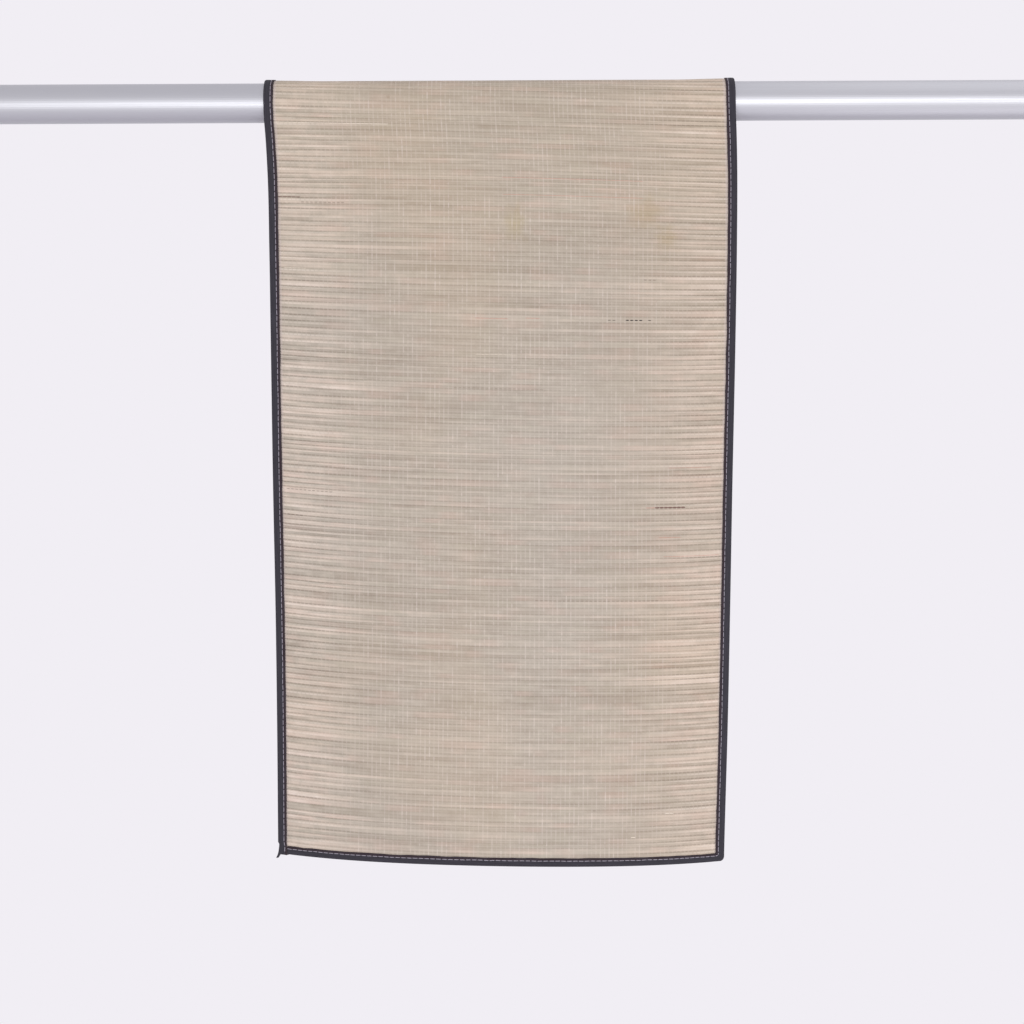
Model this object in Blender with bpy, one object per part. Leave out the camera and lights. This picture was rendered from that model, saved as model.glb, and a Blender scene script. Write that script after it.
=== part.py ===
# Straw beach mat hung over a round aluminium tube.
# Metres, +Z up. The origin is on the tube's axis, below the middle of the mat's width.
# +X runs to the viewer's right along the tube, and the long front fall hangs on the -Y side.

import math

import bmesh
import bpy
import numpy as np

# Mat, measured over its binding
MAT_WIDTH = 0.600
MAT_LENGTH = 1.800
CLOTH = 0.0020

# Binding tape, folded over every edge and sewn through
TAPE_WIDTH = 0.0125
TAPE = 0.0008
GAP = 0.0003
CORNER_RADIUS = 0.0050
MITRE_RADIUS = 0.0006
FOLD_EASE = 0.0005

# Tube that carries the mat
TUBE_RADIUS = 0.025
TUBE_WALL = 0.0020
TUBE_LENGTH = 1.400
TUBE_SIDES = 64

# How the mat hangs. It lies a little askew, so the front end drops further on the right.
FRONT_DROP = 0.9717
SKEW = 0.0215
CREST_SHARE = 1 / 3
TAPE_LIFT = TAPE + GAP
LIFT_REACH = 0.060

# Both falls, one row for each height below the tube's axis. The sides curl back from the middle
# by curl, and the middle line of the front fall wanders sideways by shift.
DROP, CURL, SHIFT = range(3)
FALL_SECTIONS = [
    (-0.030, 0.0000, 0.0000),
    (0.000, 0.0000, 0.0000),
    (0.020, 0.0027, 0.0004),
    (0.045, 0.0091, 0.0017),
    (0.090, 0.0167, 0.0032),
    (0.190, 0.0257, 0.0037),
    (0.310, 0.0355, 0.0031),
    (0.490, 0.0492, 0.0017),
    (0.660, 0.0603, 0.0010),
    (0.800, 0.0675, -0.0002),
    (0.950, 0.0752, -0.0024),
    (1.010, 0.0780, -0.0031),
]

# Loose end of the tape at the front's lower left corner: heights of the tape's inner and outer
# edges above the mat's end, and how far the outer edge flares past the mat's side.
INNER_HEIGHT, OUTER_HEIGHT, FLARE = range(3)
TAIL_SECTIONS = [
    (0.0130, 0.0130, 0.0000),
    (0.0090, 0.0085, 0.0002),
    (0.0050, 0.0030, 0.0010),
    (0.0010, -0.0020, 0.0021),
    (-0.0022, -0.0060, 0.0032),
]

COLUMNS = 20
FRONT_ROWS = 28
FLARE_ROWS = 7
WRAP_ROWS = 24
BACK_ROWS = 17
FLARE_OUT = 0.070
PATH_STEPS = 48
LEAST_BEND = 1e-4

HALF_WIDTH = MAT_WIDTH / 2
CLOTH_INSET = TAPE + GAP
BEND_RADIUS = TUBE_RADIUS + GAP + CLOTH / 2


def read_smoothly(rows, column, at):
    """Read one column of a table at any place in its first column, on a smooth curve."""
    place = np.array([row[0] for row in rows])
    value = np.array([row[column] for row in rows])
    slope = np.gradient(value, place)
    i = np.clip(np.searchsorted(place, at) - 1, 0, len(place) - 2)
    step = place[i + 1] - place[i]
    t = (at - place[i]) / step
    start = (1 + 2 * t) * (1 - t) ** 2 * value[i] + t * (1 - t) ** 2 * step * slope[i]
    end = t * t * (3 - 2 * t) * value[i + 1] - t * t * (1 - t) * step * slope[i + 1]
    return start + end


def bend_radius(u):
    """Radius of the cloth's middle layer on the tube. The tape under its sides lifts it."""
    near = np.clip(1 - (HALF_WIDTH - TAPE_WIDTH - np.abs(u)) / LIFT_REACH, 0.0, 1.0)
    return BEND_RADIUS + TAPE_LIFT * near * near * (3 - 2 * near)


def level_arc(u, drop):
    """Level section of a fall, an arc whose sides lie further back than its middle."""
    curl = read_smoothly(FALL_SECTIONS, CURL, drop)
    bend = np.maximum(8 * curl / MAT_WIDTH**2, LEAST_BEND)
    return np.sin(u * bend) / bend, (1 - np.cos(u * bend)) / bend - CREST_SHARE * curl


def front_outline(u, drop):
    across, back = level_arc(u, drop)
    return across + read_smoothly(FALL_SECTIONS, SHIFT, drop), back - bend_radius(u)


def back_outline(u, drop):
    across, back = level_arc(u, drop)
    return across, back + bend_radius(u)


def fall(outline, u, drop):
    """Point on a fall at a path length below the tube's axis, found by walking down the path."""
    path = drop[..., None] * np.linspace(0.0, 1.0, PATH_STEPS + 1)
    x, y = outline(u[..., None], path)
    step = drop[..., None] / PATH_STEPS
    sunk = np.sqrt(np.maximum(step**2 - np.diff(x) ** 2 - np.diff(y) ** 2, 0.0)).sum(axis=-1)
    return np.stack([x[..., -1], y[..., -1], -sunk], axis=-1)


def on_cloth(u, q):
    """Middle layer of the cloth, u across from its middle line and q along from the front end."""
    u, q = np.broadcast_arrays(np.asarray(u, float), np.asarray(q, float))
    drop = FRONT_DROP + SKEW * u - q
    radius = bend_radius(u)
    angle = np.clip(-drop / radius, 0.0, math.pi)
    around = np.stack([u, -radius * np.cos(angle), radius * np.sin(angle)], axis=-1)
    front = fall(front_outline, u, np.maximum(drop, 0.0))
    back = fall(back_outline, u, np.maximum(-drop - math.pi * radius, 0.0))
    point = np.where((drop > 0)[..., None], front, around)
    return np.where((angle >= math.pi)[..., None], back, point)


def off_cloth(u, q, out):
    """Point that stands off the middle layer by out, along the cloth's outer normal."""
    small = 1e-4
    across = on_cloth(u + small, q) - on_cloth(u - small, q)
    along = on_cloth(u, q + small) - on_cloth(u, q - small)
    normal = np.cross(across, along)
    normal /= np.linalg.norm(normal, axis=-1, keepdims=True)
    return on_cloth(u, q) + normal * np.asarray(out)[..., None]


def add_object(name, mesh, material):
    mesh.materials.append(material)
    mesh.shade_smooth()
    mesh.set_sharp_from_angle(angle=math.radians(50))
    part = bpy.data.objects.new(name, mesh)
    bpy.context.scene.collection.objects.link(part)
    return part


def sheet_object(name, places, thickness, material):
    """Sheet through a table of places, rows by columns, thickened evenly to both sides."""
    rows, columns = places.shape[:2]
    grid = bmesh.new()
    bmesh.ops.create_grid(grid, x_segments=columns - 1, y_segments=rows - 1, size=1.0)
    for vert in grid.verts:
        column = round((vert.co.x + 1) / 2 * (columns - 1))
        row = round((vert.co.y + 1) / 2 * (rows - 1))
        vert.co = places[row, column]
    mesh = bpy.data.meshes.new(name)
    grid.to_mesh(mesh)
    grid.free()
    sheet = add_object(name, mesh, material)
    solid = sheet.modifiers.new("Thickness", "SOLIDIFY")
    solid.thickness = thickness
    solid.offset = 0.0
    solid.use_even_offset = True
    return sheet


def lengthwise_rows():
    """Places along the mat's length, closest on the tube and next to it, where it bends most."""
    skew_reach = SKEW * HALF_WIDTH
    bend_start = FRONT_DROP - skew_reach
    bend_end = FRONT_DROP + math.pi * BEND_RADIUS + skew_reach
    stretches = [
        (TAPE_WIDTH, bend_start - FLARE_OUT, FRONT_ROWS),
        (bend_start - FLARE_OUT, bend_start, FLARE_ROWS),
        (bend_start, bend_end, WRAP_ROWS),
        (bend_end, bend_end + FLARE_OUT, FLARE_ROWS),
        (bend_end + FLARE_OUT, MAT_LENGTH - TAPE_WIDTH, BACK_ROWS),
    ]
    rows = [np.linspace(start, end, count, endpoint=False) for start, end, count in stretches]
    return np.append(np.concatenate(rows), stretches[-1][1])


def crosswise_columns():
    inner = HALF_WIDTH - TAPE_WIDTH
    return np.linspace(-inner, inner, COLUMNS + 1)


def build_mat(material):
    """The woven cloth, with its corners eased so that the tape can turn round them."""
    edge = HALF_WIDTH - CLOTH_INSET
    across = np.concatenate([[-edge], crosswise_columns(), [edge]])
    along = np.concatenate([[CLOTH_INSET], lengthwise_rows(), [MAT_LENGTH - CLOTH_INSET]])
    u, q = np.meshgrid(across, along)
    ease = CORNER_RADIUS / 2
    for row, row_way in ((0, 1), (-1, -1)):
        for column, column_way in ((0, 1), (-1, -1)):
            u[row, column] += column_way * ease
            q[row, column] += row_way * ease
    return sheet_object("mat", on_cloth(u, q), CLOTH, material)


def turned_corner(corner, enter, leave):
    """Outer and inner edge of the tape where it turns a corner, in steps of an eighth turn."""
    corner, enter, leave = (np.array(value, float) for value in (corner, enter, leave))
    inward = leave - enter
    stations = []
    for step in range(5):
        turn = math.radians(22.5) * step
        swing = math.sin(turn) * enter - math.cos(turn) * leave
        outer = corner + CORNER_RADIUS * (inward + swing)
        inner = corner + TAPE_WIDTH * inward + MITRE_RADIUS * (inward + swing)
        stations.append((outer, inner))
    return stations


def binding_stations():
    """Outer and inner edge of the one strip of tape, from the front's lower left corner, along
    the front end, up the right side, round the back end and down the left side to its tail."""
    columns = crosswise_columns()
    rows = lengthwise_rows()
    clear = TAPE_WIDTH + GAP
    first = np.concatenate([[-HALF_WIDTH + clear], columns[1:-1], [HALF_WIDTH - TAPE_WIDTH - 0.002]])
    stations = [(np.array([u, 0.0]), np.array([u, TAPE_WIDTH])) for u in first]
    stations += turned_corner((HALF_WIDTH, 0.0), (1, 0), (0, 1))
    for q in rows[1:-1]:
        stations.append((np.array([HALF_WIDTH, q]), np.array([HALF_WIDTH - TAPE_WIDTH, q])))
    stations += turned_corner((HALF_WIDTH, MAT_LENGTH), (0, 1), (-1, 0))
    for u in columns[-2:0:-1]:
        stations.append((np.array([u, MAT_LENGTH]), np.array([u, MAT_LENGTH - TAPE_WIDTH])))
    stations += turned_corner((-HALF_WIDTH, MAT_LENGTH), (-1, 0), (0, -1))
    for q in rows[-2:0:-1]:
        stations.append((np.array([-HALF_WIDTH, q]), np.array([-HALF_WIDTH + TAPE_WIDTH, q])))
    for row in TAIL_SECTIONS:
        outer = np.array([-HALF_WIDTH - row[FLARE], row[OUTER_HEIGHT]])
        stations.append((outer, np.array([-HALF_WIDTH + TAPE_WIDTH, row[INNER_HEIGHT]])))
    return stations


def build_binding(material):
    """Tape folded in a U over the cloth's edge. Its middle layer is lifted off both faces."""
    leg = CLOTH / 2 + GAP + TAPE / 2
    fold = [(TAPE_WIDTH, leg), (TAPE / 2 + FOLD_EASE, leg), (TAPE / 2, leg - FOLD_EASE)]
    profile = fold + [(inset, -out) for inset, out in reversed(fold)]
    u, q, out = [], [], []
    for outer, inner in binding_stations():
        inward = (inner - outer) / np.linalg.norm(inner - outer)
        for inset, lift in profile:
            place = inner if inset == TAPE_WIDTH else outer + inward * inset
            u.append(place[0])
            q.append(place[1])
            out.append(lift)
    places = off_cloth(np.array(u), np.array(q), np.array(out)).reshape(-1, len(profile), 3)
    return sheet_object("binding", places, TAPE, material)


def build_rod(material):
    """Plain drawn tube, open at both ends."""
    tube = bmesh.new()
    bmesh.ops.create_cone(
        tube, cap_ends=False, segments=TUBE_SIDES, radius1=TUBE_RADIUS, radius2=TUBE_RADIUS, depth=TUBE_LENGTH
    )
    for vert in tube.verts:
        vert.co = (vert.co.z, vert.co.x, vert.co.y)
    mesh = bpy.data.meshes.new("rod")
    tube.to_mesh(mesh)
    tube.free()
    rod = add_object("rod", mesh, material)
    wall = rod.modifiers.new("Wall", "SOLIDIFY")
    wall.thickness = TUBE_WALL
    wall.offset = -1.0
    wall.use_even_offset = True
    return rod


def principled(name, colour, roughness, metallic=0.0):
    material = bpy.data.materials.new(name)
    material.use_nodes = True
    shader = material.node_tree.nodes["Principled BSDF"]
    shader.inputs["Base Color"].default_value = (*colour, 1.0)
    shader.inputs["Roughness"].default_value = roughness
    shader.inputs["Metallic"].default_value = metallic
    return material


for old in list(bpy.data.objects):
    bpy.data.objects.remove(old, do_unlink=True)

build_mat(principled("woven straw", (0.54, 0.46, 0.39), 0.75))
build_binding(principled("charcoal cotton tape", (0.065, 0.060, 0.068), 0.90))
build_rod(principled("drawn aluminium", (0.60, 0.60, 0.63), 0.35, 1.0))
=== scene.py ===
# Straw beach mat hung over a round aluminium tube. Metres, in the frame of the CAD part: +X to the
# viewer's right along the tube, the long front fall on the -Y side, +Z up.

import math

import bmesh
import bpy
import numpy as np
from mathutils import Matrix, Vector


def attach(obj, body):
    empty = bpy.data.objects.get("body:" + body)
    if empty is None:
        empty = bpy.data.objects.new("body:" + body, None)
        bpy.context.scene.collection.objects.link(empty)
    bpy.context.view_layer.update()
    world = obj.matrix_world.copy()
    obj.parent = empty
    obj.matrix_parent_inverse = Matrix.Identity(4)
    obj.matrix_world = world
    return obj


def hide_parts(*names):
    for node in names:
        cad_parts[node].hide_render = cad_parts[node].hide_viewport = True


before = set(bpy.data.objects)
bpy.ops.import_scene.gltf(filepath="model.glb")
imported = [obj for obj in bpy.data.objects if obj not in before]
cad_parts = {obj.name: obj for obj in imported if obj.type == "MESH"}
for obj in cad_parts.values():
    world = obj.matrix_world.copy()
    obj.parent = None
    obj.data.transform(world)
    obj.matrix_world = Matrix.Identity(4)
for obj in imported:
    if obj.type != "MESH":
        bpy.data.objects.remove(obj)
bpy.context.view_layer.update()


# Camera, light and floor. The camera stands three metres off and looks level at the long fall,
# tilted by a hair. A pale, even room, one long window behind the camera and soft panels light it.
CAMERA_PLACE = (0.0134, -3.0234, -0.5251)
CAMERA_TILT = 0.0048
CAMERA_LENS = 82.97
CAMERA_SENSOR = 36.0
ROOM_COLOUR = "#f1eef4"
FLOOR_COLOUR = "#e9e6ec"
FLOOR_DEPTH = -1.60
FLOOR_RADIUS = 1.80
PANELS = [
    ("long window", (0.5, -4.1, -0.58), (0.1, 0.0, -0.58), (4.6, 0.32), 44.0),
    ("low panel", (0.0, -3.6, -1.35), (0.0, 0.0, -0.9), (3.2, 0.5), 20.0),
    ("overhead right panel", (1.1, -0.2, 1.0), (1.1, -0.2, 0.0), (1.4, 1.6), 2.5),
    ("under panel", (0.0, -0.6, -1.50), (0.0, -0.6, 0.0), (3.0, 1.6), 2.0),
    ("under right panel", (1.0, -0.5, -1.45), (1.0, -0.5, 0.0), (1.0, 1.4), 2.3),
]


def hex_colour(code):
    """Linear colour of an sRGB hex value."""
    parts = [int(code[i : i + 2], 16) / 255 for i in (1, 3, 5)]
    linear = [part / 12.92 if part <= 0.04045 else ((part + 0.055) / 1.055) ** 2.4 for part in parts]
    return (*linear, 1.0)


def add_node(material, kind, inputs, **settings):
    """Add a node with its settings. Each input takes a value or the output that feeds it."""
    node = material.node_tree.nodes.new(kind)
    for name, value in settings.items():
        setattr(node, name, value)
    for place, value in inputs.items():
        if isinstance(value, bpy.types.NodeSocket):
            material.node_tree.links.new(value, node.inputs[place])
        else:
            node.inputs[place].default_value = value
    return node


def new_finish(name, colour, roughness, metallic=0.0):
    """A material with its shader, which later nodes feed."""
    material = bpy.data.materials.new(name)
    material.use_nodes = True
    shader = material.node_tree.nodes["Principled BSDF"]
    shader.inputs["Base Color"].default_value = hex_colour(colour)
    shader.inputs["Roughness"].default_value = roughness
    shader.inputs["Metallic"].default_value = metallic
    return material, shader


def add_piece(name, shape, material):
    """Turn a finished bmesh into a piece of one material that shades smoothly."""
    mesh = bpy.data.meshes.new(name)
    shape.to_mesh(mesh)
    shape.free()
    mesh.materials.append(material)
    mesh.shade_smooth()
    piece = bpy.data.objects.new(name, mesh)
    bpy.context.scene.collection.objects.link(piece)
    return piece


camera = bpy.data.objects.new("camera", bpy.data.cameras.new("camera"))
camera.location = CAMERA_PLACE
camera.rotation_euler = (math.pi / 2, CAMERA_TILT, 0.0)
camera.data.lens = CAMERA_LENS
camera.data.sensor_width = CAMERA_SENSOR
bpy.context.scene.collection.objects.link(camera)
bpy.context.scene.camera = camera
bpy.context.scene.view_settings.view_transform = "Standard"

room = bpy.data.worlds.new("room")
room.use_nodes = True
room.node_tree.nodes["Background"].inputs["Color"].default_value = hex_colour(ROOM_COLOUR)
bpy.context.scene.world = room

for name, place, aim, size, power in PANELS:
    light = bpy.data.lights.new(name, "AREA")
    light.shape = "RECTANGLE"
    light.size, light.size_y = size
    light.energy = power
    panel = bpy.data.objects.new(name, light)
    panel.location = place
    panel.rotation_euler = (Vector(aim) - Vector(place)).to_track_quat("-Z", "Y").to_euler()
    bpy.context.scene.collection.objects.link(panel)

floor_shape = bmesh.new()
bmesh.ops.create_circle(floor_shape, cap_ends=True, segments=96, radius=FLOOR_RADIUS)
bmesh.ops.translate(floor_shape, verts=floor_shape.verts, vec=(0.0, 0.0, FLOOR_DEPTH))
floor_paint, floor_shader = new_finish("matt floor paint", FLOOR_COLOUR, 0.9)
add_piece("floor", floor_shape, floor_paint)


# Tube. A plain round aluminium tube, 50 mm outside with a 2 mm wall, drawn through a die and cut
# off square. The mat hangs over it by its own weight.
TUBE_COLOUR = "#bebfc3"

# The die's lines are really about 0.1 mm apart. They are drawn coarser, at 0.7 mm, so that they show.
DRAW_LINE = 0.0007
DRAW_LENGTH = 0.25


def drawn_aluminium():
    """Bare drawn aluminium: a soft sheen, broken by fine lines along the tube from the die."""
    material, shader = new_finish("aluminium, drawn", TUBE_COLOUR, 0.46, 1.0)
    place = add_node(material, "ShaderNodeTexCoord", {}).outputs["Object"]
    scale = (1 / DRAW_LENGTH, 1 / DRAW_LINE, 1 / DRAW_LINE)
    stretched = add_node(material, "ShaderNodeMapping", {"Vector": place, "Scale": scale})
    lines = add_node(
        material, "ShaderNodeTexNoise", {"Vector": stretched.outputs["Vector"], "Scale": 1.0, "Detail": 3.0}
    )
    grain = add_node(
        material,
        "ShaderNodeMapRange",
        {"Value": lines.outputs["Fac"], "From Min": 0.3, "From Max": 0.7, "To Min": 0.40, "To Max": 0.52},
    )
    material.node_tree.links.new(grain.outputs["Result"], shader.inputs["Roughness"])
    bump = add_node(
        material, "ShaderNodeBump", {"Height": lines.outputs["Fac"], "Strength": 0.25, "Distance": 0.0001}
    )
    material.node_tree.links.new(bump.outputs["Normal"], shader.inputs["Normal"])
    return material


tube_metal = drawn_aluminium()
for slot in bpy.data.objects["rod"].material_slots:
    slot.material = tube_metal


# Mat. Dry rush straws, each about 3.5 mm wide, are laid in pairs across the mat, and fine cotton
# warp threads cross over them every 5.7 mm. It hangs over the tube, and its sides curl back.
MAT_WIDTH = 0.600
MAT_LENGTH = 1.800
TUBE_RADIUS = 0.025
CLOTH = 0.0020
TAPE = 0.0008
GAP = 0.0003
TAPE_WIDTH = 0.0125
MAT_EDGE = 0.0022
MAT_COLUMNS = 34

# The weave: mean width of a pair of straws and how far it varies, spacing of the warp threads,
# heights of the straws and of the gaps off the middle layer, and how a straw wanders and slants.
PAIR = 0.0072
PAIR_SPREAD = 0.25
WARP = 0.00574
STRAW_CREST = 0.00120
DEEP_GAP = 0.00035
SHALLOW_GAP = 0.00100
STRAW_WANDER = 0.00025
STRAW_SKEW = 0.006
STRAIGHTEN = 0.080
CALM_HALF = 0.145
ROUGH_HALF = 0.275
STRAW_ROUNDING = [(0.00, 0.0), (0.13, 1.0), (0.50, 0.8), (0.87, 1.0)]

# How it hangs: the front end's depth below the tube's axis, and how far it is askew.
FRONT_DROP = 0.9717
SKEW = 0.0215
CREST_SHARE = 1 / 3
TAPE_LIFT = TAPE + GAP
LIFT_REACH = 0.060
LEAST_BEND = 1e-4
HALF_WIDTH = MAT_WIDTH / 2
BEND_RADIUS = TUBE_RADIUS + GAP + CLOTH / 2

# For each depth below the tube's axis: how far the sides curl back and the middle shifts.
CURL, SHIFT = 1, 2
FALL_SECTIONS = [
    (-0.030, 0.0000, 0.0000),
    (0.000, 0.0000, 0.0000),
    (0.020, 0.0027, 0.0004),
    (0.045, 0.0091, 0.0017),
    (0.090, 0.0167, 0.0032),
    (0.190, 0.0257, 0.0037),
    (0.310, 0.0355, 0.0031),
    (0.490, 0.0492, 0.0017),
    (0.660, 0.0603, 0.0010),
    (0.800, 0.0675, -0.0002),
    (0.950, 0.0752, -0.0024),
    (1.010, 0.0780, -0.0031),
]

# For each place along the mat: how much nearer the back end a straw's ends lie than its middle.
BOW = 1
BOW_SECTIONS = [
    (0.000, 0.0000),
    (0.020, 0.0012),
    (0.090, 0.0040),
    (0.220, 0.0060),
    (0.470, 0.0080),
    (0.660, 0.0065),
    (0.850, 0.0002),
    (1.000, 0.0000),
    (1.250, -0.0020),
    (1.550, 0.0030),
    (1.800, 0.0000),
]


def read_smoothly(rows, column, at):
    """Read one column of a table at any place in its first column, on a smooth curve."""
    place = np.array([row[0] for row in rows])
    value = np.array([row[column] for row in rows])
    slope = np.gradient(value, place)
    i = np.clip(np.searchsorted(place, at) - 1, 0, len(place) - 2)
    step = place[i + 1] - place[i]
    t = (at - place[i]) / step
    start = (1 + 2 * t) * (1 - t) ** 2 * value[i] + t * (1 - t) ** 2 * step * slope[i]
    end = t * t * (3 - 2 * t) * value[i + 1] - t * t * (1 - t) * step * slope[i + 1]
    return start + end


def ease(share):
    """Smooth step from 0 to 1."""
    share = np.clip(share, 0.0, 1.0)
    return share * share * (3 - 2 * share)


def bend_radius(u):
    """Radius of the cloth's middle layer on the tube. The tape under its sides lifts it."""
    return BEND_RADIUS + TAPE_LIFT * ease(1 - (HALF_WIDTH - TAPE_WIDTH - np.abs(u)) / LIFT_REACH)


def level_arc(u, drop):
    """Level section of a fall, an arc whose sides lie further back than its middle."""
    curl = read_smoothly(FALL_SECTIONS, CURL, drop)
    bend = np.maximum(8 * curl / MAT_WIDTH**2, LEAST_BEND)
    return np.sin(u * bend) / bend, (1 - np.cos(u * bend)) / bend - CREST_SHARE * curl


def front_outline(u, drop):
    """Level outline of the front fall, on the -Y side of the tube."""
    across, back = level_arc(u, drop)
    return across + read_smoothly(FALL_SECTIONS, SHIFT, drop), back - bend_radius(u)


def back_outline(u, drop):
    """Level outline of the back fall, which doesn't shift sideways."""
    across, back = level_arc(u, drop)
    return across, back + bend_radius(u)


def sinking(outline):
    """Depths below the tube's axis at even steps of path down a fall, for places across it."""
    x, y = outline(TABLE_ACROSS[:, None], TABLE_PATH[None, :])
    level = np.diff(x) ** 2 + np.diff(y) ** 2
    steps = np.sqrt(np.maximum(TABLE_PATH[1] ** 2 - level, 0.0))
    return np.concatenate([np.zeros((len(TABLE_ACROSS), 1)), np.cumsum(steps, axis=1)], axis=1)


TABLE_ACROSS = np.linspace(-0.320, 0.320, 65)
TABLE_PATH = np.linspace(0.0, 1.050, 526)
FRONT_SINKING = sinking(front_outline)
BACK_SINKING = sinking(back_outline)


def fall(outline, depths, u, drop):
    """Point on a fall at a path length below the tube's axis."""
    x, y = outline(u, drop)
    column = (u - TABLE_ACROSS[0]) / (TABLE_ACROSS[1] - TABLE_ACROSS[0])
    row = drop / TABLE_PATH[1]
    i = np.clip(column.astype(int), 0, len(TABLE_ACROSS) - 2)
    j = np.clip(row.astype(int), 0, len(TABLE_PATH) - 2)
    column, row = column - i, row - j
    near = depths[i, j] * (1 - row) + depths[i, j + 1] * row
    far = depths[i + 1, j] * (1 - row) + depths[i + 1, j + 1] * row
    return np.stack([x, y, -near * (1 - column) - far * column], axis=-1)


def on_cloth(u, q):
    """Middle layer of the cloth, u across from its middle line and q along from the front end."""
    u, q = np.broadcast_arrays(np.asarray(u, float), np.asarray(q, float))
    drop = FRONT_DROP + SKEW * u - q
    radius = bend_radius(u)
    angle = np.clip(-drop / radius, 0.0, math.pi)
    around = np.stack([u, -radius * np.cos(angle), radius * np.sin(angle)], axis=-1)
    front = fall(front_outline, FRONT_SINKING, u, np.maximum(drop, 0.0))
    back = fall(back_outline, BACK_SINKING, u, np.maximum(-drop - math.pi * radius, 0.0))
    point = np.where((drop > 0)[..., None], front, around)
    return np.where((angle >= math.pi)[..., None], back, point)


def off_cloth(u, q, out):
    """Point that stands off the middle layer by out, along the cloth's outer normal."""
    small = 1e-4
    across = on_cloth(u + small, q) - on_cloth(u - small, q)
    along = on_cloth(u, q + small) - on_cloth(u, q - small)
    normal = np.cross(across, along)
    normal /= np.linalg.norm(normal, axis=-1, keepdims=True)
    return on_cloth(u, q) + normal * np.asarray(out)[..., None]


def straw_place(u, start):
    """Place along the mat of a straw's line, which crosses the middle at start."""
    straight = ease(start / STRAIGHTEN) * ease((MAT_LENGTH - start) / STRAIGHTEN)
    bow = read_smoothly(BOW_SECTIONS, BOW, start)
    return start - STRAW_SKEW * straight * u + bow * (u / HALF_WIDTH) ** 2


def pair_rows():
    """Lengthwise rows of the mesh: where each crosses the middle, its place in the count of straw
    pairs, and its height from the gap between two pairs, at 0, to the crest, at 1."""
    chance = np.random.default_rng(11)
    count = round((MAT_LENGTH - 2 * MAT_EDGE) / PAIR)
    widths = chance.uniform(1 - PAIR_SPREAD, 1 + PAIR_SPREAD, count)
    ends = np.append(0.0, np.cumsum(widths)) / widths.sum()
    ends = MAT_EDGE + (MAT_LENGTH - 2 * MAT_EDGE) * ends
    shares = np.array([share for share, height in STRAW_ROUNDING])
    starts = (ends[:-1, None] + np.diff(ends)[:, None] * shares).ravel()
    numbers = (np.arange(count)[:, None] + shares).ravel()
    heights = np.tile([height for share, height in STRAW_ROUNDING], count)
    return np.append(starts, ends[-1]), np.append(numbers, count), np.append(heights, 0.0)


def build_mat(material):
    """Closed woven sheet, ridged by its straws on both faces, more deeply towards its sides."""
    starts, numbers, heights = pair_rows()
    chance = np.random.default_rng(12)
    pair = np.round(numbers).astype(int)
    waves = chance.uniform(0.30, 0.80, pair[-1] + 1)[pair][:, None]
    phases = chance.uniform(0.0, 1.0, pair[-1] + 1)[pair][:, None]
    edge = HALF_WIDTH - MAT_EDGE
    u, start = np.meshgrid(np.linspace(-edge, edge, MAT_COLUMNS + 1), starts)
    loose = ease((start - MAT_EDGE) / STRAIGHTEN) * ease((MAT_LENGTH - MAT_EDGE - start) / STRAIGHTEN)
    q = straw_place(u, start) + STRAW_WANDER * loose * np.sin(2 * math.pi * (u / waves + phases))
    rough = ease((np.abs(u) - CALM_HALF) / (ROUGH_HALF - CALM_HALF))
    gap = SHALLOW_GAP + (DEEP_GAP - SHALLOW_GAP) * rough
    height = gap + (STRAW_CREST - gap) * heights[:, None]
    faces = {side: off_cloth(u, q, side * height) for side in (1, -1)}

    rows, columns = u.shape
    shape = bmesh.new()
    bmesh.ops.create_grid(shape, x_segments=columns - 1, y_segments=rows - 1, size=1.0)
    grown = bmesh.ops.extrude_face_region(shape, geom=shape.faces[:], use_keep_orig=True)
    outer = {item for item in grown["geom"] if isinstance(item, bmesh.types.BMVert)}
    place = {}
    for vert in shape.verts:
        column = round((vert.co.x + 1) / 2 * (columns - 1))
        row = round((vert.co.y + 1) / 2 * (rows - 1))
        place[vert] = (row, column)
        vert.co = faces[1 if vert in outer else -1][row, column]
    bmesh.ops.recalc_face_normals(shape, faces=shape.faces)
    weave = shape.loops.layers.uv.new("weave")
    cloth = shape.loops.layers.uv.new("cloth")
    for face in shape.faces:
        for loop in face.loops:
            row, column = place[loop.vert]
            loop[weave].uv = (u[row, column] / WARP, numbers[row])
            loop[cloth].uv = (u[row, column], q[row, column])
    return add_piece("straw_mat", shape, material)


# Tones of the straws, from a dark gap to a bleached straw.
TONES = [
    (0.00, "#745f50"),
    (0.32, "#9a8e7f"),
    (0.48, "#aca293"),
    (0.68, "#c6b7a7"),
    (1.00, "#e2d5c8"),
]

# Streaks of tone: what they are counted by, their length, their shift in the noise and their share.
STREAKS = [
    ("pair", 0.60, 0.0, 0.38),
    ("straw", 0.35, 40.0, 0.75),
    ("straw", 0.05, 200.0, 0.45),
]
MOTTLE_SHARE = 0.24

# In the noise, the rows of neighbouring straws and warp threads lie this far apart, so they differ.
ROW_APART = 3.17
WARP_APART = 2.71

# Tints: what they follow, the values where they start and are full, depth and colour.
TINTS = [
    ("pairs", 0.52, 0.75, 0.12, "#a8a48c"),
    ("pairs", 0.48, 0.25, 0.18, "#c4a091"),
    ("patches", 0.50, 0.70, 0.16, "#bea88c"),
    ("patches", 0.50, 0.30, 0.16, "#aaa59c"),
    ("metres across", 0.05, 0.25, 0.14, "#b0906c"),
    ("metres along", 0.55, 0.95, 0.12, "#b09a72"),
]

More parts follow.
